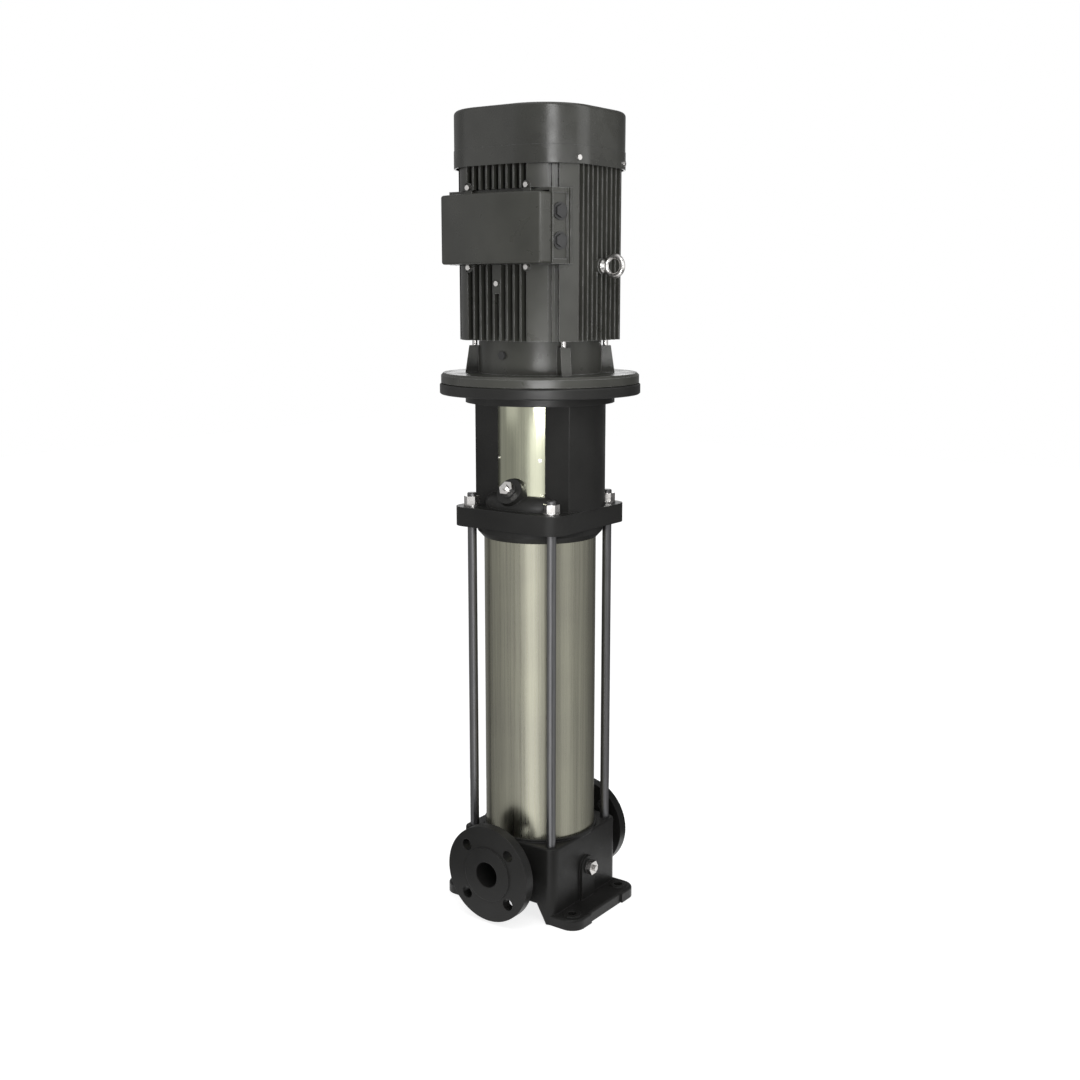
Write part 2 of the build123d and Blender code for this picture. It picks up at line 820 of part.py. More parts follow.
with BuildPart() as seal_ring:
    ring(
        shaft_radius + slip,
        seal_ring_diameter / 2,
        seal_face - seal_seat_height - gap - seal_ring_height,
        seal_face - seal_seat_height - gap,
    )
finish(seal_ring, "seal_ring")

# ================================================================== shafts and coupling
motor_shaft_bottom = shaft_joint_height + motor_shaft_end_gap
pin_height = (coupling_bottom + shaft_joint_height) / 2
with BuildPart() as pump_shaft:
    ring(0, shaft_radius, pump_shaft_bottom, shaft_joint_height - motor_shaft_end_gap)
    with BuildSketch(Plane.YZ.offset(-pump_shaft_diameter)):
        with Locations((0, pin_height)):
            Circle(coupling_pin / 2 + slip)
    extrude(amount=2 * pump_shaft_diameter, mode=Mode.SUBTRACT)
finish(pump_shaft, "pump_shaft")

with BuildPart() as shaft_pin:
    with BuildSketch(Plane.YZ.offset(-coupling_pin_length / 2)):
        with Locations((0, pin_height)):
            Circle(coupling_pin / 2)
    extrude(amount=coupling_pin_length)
finish(shaft_pin, "coupling_pin")

coupling_middle = (coupling_bottom + coupling_top) / 2
screw_spots = [
    (x, coupling_middle + rise)
    for x in (-coupling_screw_offset, coupling_screw_offset)
    for rise in (-coupling_screw_pitch / 2, coupling_screw_pitch / 2)
]
screw_seat = coupling_diameter / 4
for side, label in ((-1, "coupling_half_near"), (1, "coupling_half_far")):
    with BuildPart() as coupling_half:
        ring(0, coupling_diameter / 2, coupling_bottom, coupling_top)
        ring(0, shaft_radius + slip, coupling_bottom, shaft_joint_height, Mode.SUBTRACT)
        ring(0, motor_shaft_diameter / 2 + slip, shaft_joint_height, coupling_top, Mode.SUBTRACT)
        kept = Keep.BOTTOM if side > 0 else Keep.TOP
        split(bisect_by=Plane.XZ.offset(-side * coupling_split / 2), keep=kept)
        with BuildSketch(Plane.YZ.offset(-coupling_pin_length / 2 - gap)):
            with Locations((0, pin_height)):
                Circle(coupling_pin / 2 + slip)
        extrude(amount=coupling_pin_length + 2 * gap, mode=Mode.SUBTRACT)
        with BuildSketch(Plane.XZ.offset(coupling_diameter / 2)):
            with Locations(*screw_spots):
                Circle(coupling_screw / 2 + slip)
        extrude(amount=-coupling_diameter, mode=Mode.SUBTRACT)
        with BuildSketch(Plane.XZ.offset(screw_seat), Plane.XZ.offset(-coupling_diameter / 2)):
            with Locations(*screw_spots):
                Circle(coupling_screw)
        extrude(amount=coupling_diameter / 4, mode=Mode.SUBTRACT)
    finish(coupling_half, label)

with BuildPart() as coupling_screws:
    with BuildSketch(Plane.XZ.offset(screw_seat)):
        with Locations(*screw_spots):
            RegularPolygon(coupling_screw_head / 2, 6, major_radius=False)
    extrude(amount=coupling_screw_head_height)
    with BuildSketch(Plane.XZ.offset(screw_seat)):
        with Locations(*screw_spots):
            Circle(coupling_screw / 2)
    extrude(amount=-2 * screw_seat)
finish(coupling_screws, "coupling_screws")

drive_bearing_top = drive_bearing_bottom + drive_bearing_width
fan_bearing_top = fan_bearing_bottom + fan_bearing_width
fan_shaft_top = fan_bottom + fan_height
with BuildPart() as motor_shaft:
    revolve(
        turned(
            (0, motor_shaft_bottom),
            (motor_shaft_diameter / 2, motor_shaft_bottom),
            (motor_shaft_diameter / 2, drive_bearing_bottom),
            (bearing_bore / 2, drive_bearing_bottom),
            (bearing_bore / 2, drive_bearing_top),
            (rotor_diameter / 4, drive_bearing_top),
            (rotor_diameter / 4, fan_bearing_bottom),
            (bearing_bore / 2, fan_bearing_bottom),
            (bearing_bore / 2, fan_bearing_top),
            (fan_shaft_diameter / 2, fan_bearing_top),
            (fan_shaft_diameter / 2, fan_shaft_top),
            (0, fan_shaft_top),
        ),
        axis=Axis.Z,
    )
finish(motor_shaft, "motor_shaft")

# ================================================================== motor drive end shield
interface_seat = interface_height - spigot_depth + slip
bell_floor_height = interface_height + bell_floor
motor_flange_top = interface_height + motor_flange_thickness
rib_angles = [rib_angle, 180 - rib_angle, 180 + rib_angle, -rib_angle]
rib_top = motor_flange_top + rib_height


def round_spots(radius, angles):
    """Points on a circle about the pump's axis."""
    return [(radius * cos(radians(angle)), radius * sin(radians(angle))) for angle in angles]


shield_bolt_spots = round_spots(shield_bolt_circle / 2, rib_angles)
with BuildPart() as drive_end_shield:
    revolve(
        turned(
            (bearing_bore / 2 + gap, interface_seat),
            (spigot_diameter / 2 - slip, interface_seat),
            (spigot_diameter / 2 - slip, interface_height),
            (motor_flange_diameter / 2 - flange_edge, interface_height),
            (motor_flange_diameter / 2, interface_height + flange_edge),
            (motor_flange_diameter / 2, motor_flange_top - motor_flange_bevel),
            (motor_flange_diameter / 2 - motor_flange_bevel, motor_flange_top),
            (bell_diameter / 2, motor_flange_top),
            (bell_diameter / 2, housing_bottom),
            (bell_diameter / 2 - bell_wall, housing_bottom),
            (bell_diameter / 2 - bell_wall, bell_floor_height),
            (drive_bearing_diameter / 2 + slip, bell_floor_height),
            (drive_bearing_diameter / 2 + slip, drive_bearing_bottom),
            (bearing_bore / 2 + gap, drive_bearing_bottom),
        ),
        axis=Axis.Z,
    )
    # four ribs that carry the bolts of the stator housing
    for angle in rib_angles:
        upright = Plane(
            origin=(0, 0, 0),
            x_dir=(cos(radians(angle)), sin(radians(angle)), 0),
            z_dir=(sin(radians(angle)), -cos(radians(angle)), 0),
        )
        with BuildSketch(upright):
            with BuildLine():
                Polyline(
                    (bell_diameter / 2 - bell_wall / 2, motor_flange_top),
                    (rib_reach_bottom, motor_flange_top),
                    (rib_reach_top, rib_top),
                    (bell_diameter / 2 - bell_wall / 2, rib_top),
                    close=True,
                )
            make_face()
        extrude(amount=rib_width / 2, both=True)
    with BuildSketch(Plane.XY.offset(rib_top - shield_bolt_depth)):
        with Locations(*shield_bolt_spots):
            Circle(shield_bolt / 2 + slip)
    extrude(amount=shield_bolt_depth, mode=Mode.SUBTRACT)
    with BuildSketch(Plane.XY.offset(interface_height)):
        with PolarLocations(stool_screw_pcd / 2, stool_screw_count, start_angle=45):
            Circle(stool_screw / 2 + slip)
    extrude(amount=motor_flange_thickness - motor_flange_bevel, mode=Mode.SUBTRACT)
    with BuildSketch(Plane.YZ.offset(-bell_diameter / 2)):
        with Locations((0, condensate_height)):
            Circle(condensate_width / 4 + slip)
    extrude(amount=bell_wall, mode=Mode.SUBTRACT)
finish(drive_end_shield, "drive_end_shield")

with BuildPart() as shield_bolts:
    with BuildSketch(Plane.XY.offset(rib_top - shield_bolt_depth)):
        with Locations(*shield_bolt_spots):
            Circle(shield_bolt / 2)
    extrude(amount=housing_bottom - rib_top + 2 * shield_bolt_depth)
finish(shield_bolts, "shield_bolts")

with BuildPart() as flange_screws:
    with BuildSketch(Plane.XY.offset(stool_screw_seat - stool_screw_head_height)):
        with PolarLocations(stool_screw_pcd / 2, stool_screw_count, start_angle=45):
            RegularPolygon(stool_screw_head / 2, 6)
    extrude(amount=stool_screw_head_height)
    with BuildSketch(Plane.XY.offset(stool_screw_seat)):
        with PolarLocations(stool_screw_pcd / 2, stool_screw_count, start_angle=45):
            Circle(stool_screw / 2)
    extrude(amount=motor_flange_top - motor_flange_bevel - gap - stool_screw_seat)
finish(flange_screws, "flange_screws")

with BuildPart() as condensate_plug:
    with BuildSketch(Plane.YZ.offset(-bell_diameter / 2)):
        with Locations((0, condensate_height)):
            RegularPolygon(condensate_width / 2, 6, major_radius=False)
    extrude(amount=-condensate_head)
    with BuildSketch(Plane.YZ.offset(-bell_diameter / 2)):
        with Locations((0, condensate_height)):
            Circle(condensate_width / 4)
    extrude(amount=bell_wall - gap)
finish(condensate_plug, "condensate_plug")

# ================================================================== stator housing
fin_gaps = [(step - fin_count / 2) * fin_pitch for step in range(fin_count + 1)]
fin_gap_width = fin_pitch - fin_thickness
box_bottom = box_centre_height - box_height / 2
box_screw_spots = [
    (y, box_centre_height + rise)
    for y in (-box_screw_y, box_screw_y)
    for rise in (-box_screw_rise, box_screw_rise)
]
ear_bridges = [(y, z + (box_centre_height - z) / 4) for y, z in box_screw_spots]
core_radius = housing_core_diameter / 2
cover_screw_sweep = cover_screw_x - (cover_width / 2 - cover_corner)
cover_screw_run = (cover_corner**2 - cover_screw_sweep**2) ** 0.5
cover_screw_seats = []
for x_side in (-1, 1):
    for y_side in (-1, 1):
        outward = Vector(x_side * cover_screw_sweep, y_side * cover_screw_run, 0) / cover_corner
        centre = Vector(x_side, y_side, 0) * (cover_width / 2 - cover_corner)
        cover_screw_seats.append(
            Plane(
                origin=centre + outward * cover_corner + Vector(0, 0, cover_screw_height),
                x_dir=(0, 0, 1),
                z_dir=outward,
            )
        )
eye_seats = [
    Plane(origin=(0, side * eye_boss_reach, eye_height), x_dir=(1, 0, 0), z_dir=(0, side, 0))
    for side in (-1, 1)
]
with BuildPart() as stator_housing:
    with BuildSketch(Plane.XY.offset(housing_bottom)):
        Circle(housing_corner_diameter / 2)
        Rectangle(housing_flat, housing_flat, mode=Mode.INTERSECT)
        for turn in (0, 90, 180, 270):
            with Locations(Rotation(0, 0, turn)):
                with Locations(*[(housing_flat / 2, offset) for offset in fin_gaps]):
                    Rectangle(housing_flat / 2, fin_gap_width, mode=Mode.SUBTRACT)
        Circle(core_radius)
        with PolarLocations(groove_radius, 4, start_angle=45):
            Rectangle(housing_flat / 4, groove_width, align=(Align.MIN, Align.CENTER), mode=Mode.SUBTRACT)
            Rectangle(groove_bead, groove_bead, align=(Align.MIN, Align.CENTER))
        Circle(housing_bore / 2, mode=Mode.SUBTRACT)
    extrude(amount=housing_top - housing_bottom)
    # bosses of the shield bolts
    with BuildSketch(Plane.XY.offset(housing_bottom)):
        with Locations(*shield_bolt_spots):
            Circle(shield_bolt)
    extrude(amount=shield_bolt_depth)
    # bosses of the lifting eyes and the earth screw's pad
    for seat in eye_seats:
        with BuildSketch(seat):
            Circle(eye_boss_diameter / 2)
        extrude(amount=core_radius - eye_boss_reach)
    with BuildSketch(Plane.YZ.offset(-housing_flat / 2)):
        with Locations((0, (earth_pad_bottom + box_bottom) / 2)):
            Rectangle(earth_pad_width, box_bottom - earth_pad_bottom)
    extrude(amount=housing_flat / 2 - core_radius + through)
    # pad and side pockets that take the terminal box
    with BuildSketch(Plane.YZ.offset(-housing_corner_diameter)):
        with Locations((0, box_centre_height)):
            Rectangle(box_step_width + 2 * gap, box_height + 2 * gap)
        with Locations(*box_screw_spots):
            Circle(box_ear_radius + gap)
        with Locations(*ear_bridges):
            Rectangle(2 * box_ear_radius + 2 * gap, box_screw_rise / 2)
    extrude(amount=housing_corner_diameter - box_pad, mode=Mode.SUBTRACT)
    with BuildSketch(Plane.YZ.offset(-housing_corner_diameter)):
        with Locations((0, box_centre_height)):
            Rectangle(housing_corner_diameter, box_height + 2 * gap)
            Rectangle(box_step_width, box_height + 2 * gap, mode=Mode.SUBTRACT)
    extrude(amount=housing_corner_diameter - box_back, mode=Mode.SUBTRACT)
    # threaded holes
    with BuildSketch(Plane.XY.offset(housing_bottom)):
        with Locations(*shield_bolt_spots):
            Circle(shield_bolt / 2 + slip)
    extrude(amount=shield_bolt_depth + gap, mode=Mode.SUBTRACT)
    with BuildSketch(Plane.YZ.offset(-box_pad)):
        with Locations(*box_screw_spots):
            Circle(box_screw / 2 + slip)
    extrude(amount=box_screw_depth + gap, mode=Mode.SUBTRACT)
    for seat in eye_seats:
        with BuildSketch(seat):
            Circle(eye_thread / 2 + slip)
        extrude(amount=-eye_thread_length - gap, mode=Mode.SUBTRACT)
    for seat in cover_screw_seats:
        with BuildSketch(seat):
            Circle(cover_screw / 2 + slip)
        extrude(amount=-cover_screw_length - gap, mode=Mode.SUBTRACT)
    with BuildSketch(Plane.YZ.offset(-housing_flat / 2)):
        with Locations((0, earth_height)):
            Circle(cover_screw / 2 + slip)
    extrude(amount=cover_screw_length + gap, mode=Mode.SUBTRACT)
finish(stator_housing, "stator_housing")

with BuildPart() as earth_screw:
    with BuildSketch(Plane.YZ.offset(-housing_flat / 2)):
        with Locations((0, earth_height)):
            Circle(cover_screw_head / 2)
    extrude(amount=-cover_screw / 2)
    with BuildSketch(Plane.YZ.offset(-housing_flat / 2)):
        with Locations((0, earth_height)):
            Circle(cover_screw / 2)
    extrude(amount=cover_screw_length)
finish(earth_screw, "earth_screw")

with BuildPart() as lifting_eyes:
    for seat in eye_seats:
        with BuildSketch(seat):
            Circle(eye_collar_diameter / 2)
        extrude(amount=eye_collar_height)
        with BuildSketch(seat):
            Circle(eye_thread / 2)
        extrude(amount=-eye_thread_length)
        # a forged ring standing on the collar
        wire = (eye_ring_diameter - eye_ring_bore) / 4
        ring_centre = seat.origin + seat.z_dir * (eye_collar_height + eye_ring_diameter / 2 - wire / 2)
        with BuildSketch(Plane(origin=ring_centre, x_dir=(0, 1, 0), z_dir=(0, 0, 1))) as wire_section:
            with Locations((eye_ring_bore / 2 + wire, 0)):
                RegularPolygon(wire, 8, rotation=22.5)
        revolve(wire_section.sketch, axis=Axis(ring_centre, (1, 0, 0)))
finish(lifting_eyes, "lifting_eyes")

# ================================================================== inside the motor
core_top = stator_core_bottom + stator_core_length
with BuildPart() as stator_core:
    ring(rotor_diameter / 2 + air_gap, housing_bore / 2 - slip, stator_core_bottom, core_top)
finish(stator_core, "stator_core")

with BuildPart() as end_windings:
    ring(winding_inner / 2, winding_outer / 2, stator_core_bottom - winding_height, stator_core_bottom)
    ring(winding_inner / 2, winding_outer / 2, core_top, core_top + winding_height)
finish(end_windings, "end_windings")

with BuildPart() as rotor_core:
    ring(rotor_diameter / 4 + slip, rotor_diameter / 2, stator_core_bottom, core_top)
finish(rotor_core, "rotor_core")

with BuildPart() as bearing_outer_rings:
    ring(bearing_ring / 2, drive_bearing_diameter / 2, drive_bearing_bottom, drive_bearing_top)
    ring(bearing_ring / 2, fan_bearing_diameter / 2, fan_bearing_bottom, fan_bearing_top)
finish(bearing_outer_rings, "bearing_outer_rings")

with BuildPart() as bearing_inner_rings:
    ring(bearing_bore / 2 + slip, bearing_ring / 2 - gap, drive_bearing_bottom, drive_bearing_top)
    ring(bearing_bore / 2 + slip, bearing_ring / 2 - gap, fan_bearing_bottom, fan_bearing_top)
finish(bearing_inner_rings, "bearing_inner_rings")

fan_shield_radius = fan_shield_diameter / 2
with BuildPart() as fan_end_shield:
    revolve(
        turned(
            (fan_shaft_diameter / 2 + gap, fan_bearing_top),
            (fan_shaft_diameter / 2 + gap, housing_top + fan_shield_thickness),
            (fan_shield_radius, housing_top + fan_shield_thickness),
            (fan_shield_radius, housing_top),
            (fan_bearing_diameter / 2 + bell_wall, housing_top),
            (fan_bearing_diameter / 2 + bell_wall, fan_bearing_bottom),
            (fan_bearing_diameter / 2 + slip, fan_bearing_bottom),
            (fan_bearing_diameter / 2 + slip, fan_bearing_top),
        ),
        axis=Axis.Z,
    )
finish(fan_end_shield, "fan_end_shield")

# ================================================================== cooling fan and its cover
with BuildPart() as cooling_fan:
    ring(0, fan_hub / 2, fan_bottom, fan_bottom + fan_height)
    ring(0, fan_diameter / 2 - fan_hub / 2, fan_bottom, fan_bottom + fan_plate)
    with BuildSketch(Plane.XY.offset(fan_bottom)):
        with PolarLocations(0, fan_blade_count):
            Rectangle(fan_diameter / 2, fan_blade, align=(Align.MIN, Align.CENTER))
    extrude(amount=fan_height)
    ring(0, fan_shaft_diameter / 2 + slip, fan_bottom, fan_bottom + fan_height, Mode.SUBTRACT)
finish(cooling_fan, "cooling_fan")

slot_rows = int(grille_diameter / grille_pitch)
upper_width = cover_width - 2 * cover_band_step
with BuildPart() as fan_cover:
    with BuildSketch(Plane.XY.offset(cover_bottom)):
        RectangleRounded(cover_width, cover_width, cover_corner)
    extrude(amount=cover_band)
    with BuildSketch(Plane.XY.offset(cover_bottom + cover_band)):
        RectangleRounded(upper_width, upper_width, cover_corner - cover_band_step)
    extrude(amount=motor_top - cover_bottom - cover_band)
    fillet(fan_cover.edges().group_by(Axis.Z)[-1], radius=cover_edge)
    with BuildSketch(Plane.XY.offset(cover_bottom)):
        inner_width = upper_width - 2 * cover_wall
        RectangleRounded(inner_width, inner_width, cover_corner - cover_band_step - cover_wall)
    extrude(amount=motor_top - cover_bottom - cover_wall, mode=Mode.SUBTRACT)
    # air slots in rows, each cut to the round grille and halved by a middle rib
    with BuildSketch(Plane.XY.offset(motor_top - 2 * cover_wall)):
        for row in range(slot_rows):
            y = (row - (slot_rows - 1) / 2) * grille_pitch
            length = ((grille_diameter / 2) ** 2 - y**2) ** 0.5 - grille_rib / 2
            for side in (-1, 1):
                with Locations((side * (grille_rib / 2 + length / 2), y)):
                    Rectangle(length, grille_slot)
    extrude(amount=3 * cover_wall, mode=Mode.SUBTRACT)
    for seat in cover_screw_seats:
        with BuildSketch(seat):
            Circle(cover_screw / 2 + slip)
        extrude(amount=-2 * cover_wall - cover_band_step, mode=Mode.SUBTRACT)
finish(fan_cover, "fan_cover")

with BuildPart() as fan_cover_screws:
    for seat in cover_screw_seats:
        with BuildSketch(seat):
            Circle(cover_screw_head / 2)
        extrude(amount=cover_screw / 2)
        with BuildSketch(seat):
            Circle(cover_screw / 2)
        extrude(amount=-cover_screw_length)
finish(fan_cover_screws, "fan_cover_screws")


# ================================================================== terminal box
def plan_outline(*points):
    """A plan outline from (reach towards -X, half width) points, mirrored about the middle."""
    near = [(-reach, half) for reach, half in points]
    far = [(x, -y) for x, y in reversed(near)]
    with BuildSketch() as outline:
        with BuildLine():
            Polyline(*near, *far, close=True)
        make_face()
    return outline.sketch


box_step = box_step_width / 2 + gap
side_reach = box_back + box_rim
box_floor = box_pad + box_wall
box_middle = Plane.XY.offset(box_centre_height)
box_front = Plane(origin=(-box_face, 0, 0), x_dir=(0, -1, 0), z_dir=(-1, 0, 0))
panel_run = Vector(box_face - side_reach, (box_front_width - box_side_width) / 2, 0)
panel_half_width = (box_front_width + box_side_width) / 4
panel_centre = Vector(-(side_reach + box_face) / 2, -panel_half_width, box_centre_height)
panel = Plane(origin=panel_centre, x_dir=(0, 0, 1), z_dir=panel_run.cross(Vector(0, 0, 1)))
with BuildPart() as terminal_box:
    extrude(
        box_middle
        * plan_outline(
            (box_pad, box_step),
            (box_back, box_step),
            (box_back, box_rim_width / 2),
            (side_reach, box_rim_width / 2),
            (side_reach, box_side_width / 2),
            (box_face, box_front_width / 2),
        ),
        amount=box_height / 2,
        both=True,
    )
    # ears at the four screws
    with BuildSketch(box_front):
        with Locations(*box_screw_spots):
            Circle(box_ear_radius)
    extrude(amount=box_pad - box_face)
    extrude(
        box_middle
        * plan_outline(
            (box_floor, box_step + box_wall),
            (side_reach, box_step + box_wall),
            (side_reach, box_side_width / 2 - box_side_wall),
            (box_face + through, box_front_width / 2 - box_side_wall),
        ),
        amount=box_height / 2 - box_wall,
        both=True,
        mode=Mode.SUBTRACT,
    )
    # recessed panel with the two cable entries
    with BuildSketch(panel):
        Rectangle(entry_panel_height, panel_run.length - 2 * entry_panel_recess)
    extrude(amount=-entry_panel_recess, mode=Mode.SUBTRACT)
    with BuildSketch(panel):
        with Locations((-entry_pitch / 2, 0), (entry_pitch / 2, 0)):
            Circle(entry_bore / 2)
    extrude(amount=-2 * box_side_wall, mode=Mode.SUBTRACT)
    with BuildSketch(box_front):
        with Locations(*box_screw_spots):
            Circle(box_screw / 2 + slip)
    extrude(amount=box_pad - box_face, mode=Mode.SUBTRACT)
finish(terminal_box, "terminal_box")


def lid_outline(inset, back):
    """Plan of the lid: a bowed front between two straight ends, drawn in from the outside."""
    with BuildSketch() as outline:
        with BuildLine():
            ThreePointArc(
                (-lid_edge_reach + inset, lid_width / 2 - inset),
                (-lid_reach + inset, 0),
                (-lid_edge_reach + inset, -lid_width / 2 + inset),
            )
            Polyline(
                (-lid_edge_reach + inset, -lid_width / 2 + inset),
                (-back, -lid_width / 2 + inset),
                (-back, lid_width / 2 - inset),
                (-lid_edge_reach + inset, lid_width / 2 - inset),
            )
        make_face()
    return outline.sketch


lid_back = box_face + lid_gasket
lid_front = Plane(origin=(-lid_back, 0, 0), x_dir=(0, -1, 0), z_dir=(-1, 0, 0))
with BuildPart() as terminal_box_lid:
    extrude(
        Plane.XY.offset(lid_centre_height) * lid_outline(0, lid_back),
        amount=lid_height / 2,
        both=True,
    )
    fillet(terminal_box_lid.edges().filter_by(Axis.Z).group_by(Axis.X)[0], radius=lid_corner)
    fillet(terminal_box_lid.edges().filter_by(GeomType.CIRCLE), radius=lid_edge)
    with BuildSketch(lid_front):
        with Locations(*box_screw_spots):
            Circle(box_ear_radius)
        with Locations(*ear_bridges):
            Rectangle(2 * box_ear_radius, box_screw_rise / 2)
    extrude(amount=lid_ear_thickness)
    extrude(
        Plane.XY.offset(lid_centre_height) * lid_outline(lid_wall, lid_back - through),
        amount=lid_height / 2 - lid_wall,
        both=True,
        mode=Mode.SUBTRACT,
    )
    with BuildSketch(lid_front):
        with Locations(*box_screw_spots):
            Circle(box_screw / 2 + slip)
    extrude(amount=lid_ear_thickness, mode=Mode.SUBTRACT)
finish(terminal_box_lid, "terminal_box_lid")

with BuildPart() as lid_seal:
    with BuildSketch(box_front):
        with Locations((0, lid_centre_height)):
            Rectangle(lid_width - 2 * lid_gasket, lid_height - 2 * lid_gasket)
            Rectangle(lid_width - 2 * box_wall, lid_height - 2 * box_wall, mode=Mode.SUBTRACT)
    extrude(amount=lid_gasket)
finish(lid_seal, "lid_gasket")

with BuildPart() as terminal_box_screws:
    with BuildSketch(lid_front.offset(lid_ear_thickness)):
        with Locations(*box_screw_spots):
            Circle(box_screw_head / 2)
    extrude(amount=box_screw_head_height)
    with BuildSketch(lid_front.offset(lid_ear_thickness)):
        with Locations(*box_screw_spots):
            Circle(box_screw / 2)
    extrude(amount=box_pad - lid_back - lid_ear_thickness - box_screw_depth)
finish(terminal_box_screws, "terminal_box_screws")

with BuildPart() as entry_plugs:
    with BuildSketch(panel.offset(-entry_panel_recess)):
        with Locations((-entry_pitch / 2, 0), (entry_pitch / 2, 0)):
            Circle(entry_head / 2)
    extrude(amount=entry_head_height)
    with BuildSketch(panel.offset(entry_head_height - entry_panel_recess)):
        with Locations((-entry_pitch / 2, 0), (entry_pitch / 2, 0)):
            RegularPolygon(entry_hexagon / 2, 6, major_radius=False)
    extrude(amount=entry_hexagon_height)
    with BuildSketch(panel.offset(-entry_panel_recess)):
        with Locations((-entry_pitch / 2, 0), (entry_pitch / 2, 0)):
            Circle(entry_bore / 2 - slip)
    extrude(amount=-box_side_wall)
finish(entry_plugs, "cable_entry_plugs")

block_seat = Plane(origin=(-box_floor, 0, box_centre_height), x_dir=(0, -1, 0), z_dir=(-1, 0, 0))
stud_spots = [(y, z) for y in (-stud_pitch, 0, stud_pitch) for z in (-stud_pitch / 2, stud_pitch / 2)]
with BuildPart() as terminal_block:
    with BuildSketch(block_seat):
        Rectangle(block_width, block_height)
    extrude(amount=block_depth)
finish(terminal_block, "terminal_block")

with BuildPart() as terminal_studs:
    with BuildSketch(block_seat.offset(block_depth)):
        with Locations(*stud_spots):
            RegularPolygon(stud_width / 2, 6)
    extrude(amount=stud_length)
finish(terminal_studs, "terminal_studs")
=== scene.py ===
import json
from math import cos, pi, radians, sin

import bmesh
import bpy
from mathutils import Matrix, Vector


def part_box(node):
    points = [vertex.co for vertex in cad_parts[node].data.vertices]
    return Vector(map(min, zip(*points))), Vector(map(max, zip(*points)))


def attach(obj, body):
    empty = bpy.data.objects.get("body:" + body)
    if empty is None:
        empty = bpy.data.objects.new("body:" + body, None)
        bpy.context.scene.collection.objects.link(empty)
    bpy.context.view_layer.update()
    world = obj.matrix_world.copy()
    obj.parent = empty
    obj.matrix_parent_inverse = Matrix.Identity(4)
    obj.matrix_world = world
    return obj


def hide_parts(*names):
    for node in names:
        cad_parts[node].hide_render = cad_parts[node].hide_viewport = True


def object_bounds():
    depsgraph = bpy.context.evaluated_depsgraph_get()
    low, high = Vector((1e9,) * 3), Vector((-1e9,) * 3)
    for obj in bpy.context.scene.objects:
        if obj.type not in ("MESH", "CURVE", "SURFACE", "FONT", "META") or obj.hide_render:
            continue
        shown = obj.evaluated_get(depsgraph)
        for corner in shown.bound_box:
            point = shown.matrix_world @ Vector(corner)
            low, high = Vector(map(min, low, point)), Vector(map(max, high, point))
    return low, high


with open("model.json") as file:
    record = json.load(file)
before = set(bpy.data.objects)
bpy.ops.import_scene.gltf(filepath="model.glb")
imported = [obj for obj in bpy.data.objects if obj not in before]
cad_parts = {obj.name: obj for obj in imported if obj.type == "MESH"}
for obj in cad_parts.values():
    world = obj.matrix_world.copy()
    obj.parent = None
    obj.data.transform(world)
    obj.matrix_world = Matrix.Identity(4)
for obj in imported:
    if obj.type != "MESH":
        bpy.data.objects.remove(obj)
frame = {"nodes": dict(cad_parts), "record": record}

cad_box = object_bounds()
nodes = frame["nodes"]
scene = bpy.context.scene
finishes = {}  # the pump's materials, by the slot that each one fills
white = (1, 1, 1, 1)


# ------------------------------------------------------------------ node trees
class Nodes:
    """The node tree of a material or a world, with short calls for the nodes that the looks share."""

    def __init__(self, owner):
        owner.use_nodes = True
        self.tree = owner.node_tree

    def add(self, kind, inputs=None, **settings):
        node = self.tree.nodes.new("ShaderNode" + kind)
        for key, value in settings.items():
            setattr(node, key, value)
        for key, value in (inputs or {}).items():
            self.put(node.inputs[key], value)
        return node

    def put(self, socket, value):
        """Links a node's output to the socket, or writes a plain value into it."""
        if isinstance(value, bpy.types.NodeSocket):
            self.tree.links.new(value, socket)
        else:
            socket.default_value = value

    def show(self, shader):
        """Makes the shader the one that the material's surface has."""
        self.put(self.tree.nodes["Material Output"].inputs["Surface"], shader.outputs[0])

    def span(self, value, low=0.0, high=1.0, to_low=0.0, to_high=1.0):
        """Stretches the range from low to high over the range from to_low to to_high."""
        inputs = {"Value": value, "From Min": low, "From Max": high, "To Min": to_low, "To Max": to_high}
        return self.add("MapRange", inputs).outputs["Result"]

    def math(self, operation, first, second):
        return self.add("Math", {0: first, 1: second}, operation=operation).outputs[0]

    def seen(self):
        """1 for what the camera sees, straight or by way of metal or glass, and 0 for other light."""
        path = self.add("LightPath").outputs
        passed_on = self.math("MAXIMUM", path["Is Glossy Ray"], path["Is Transmission Ray"])
        return self.math("MAXIMUM", path["Is Camera Ray"], passed_on)


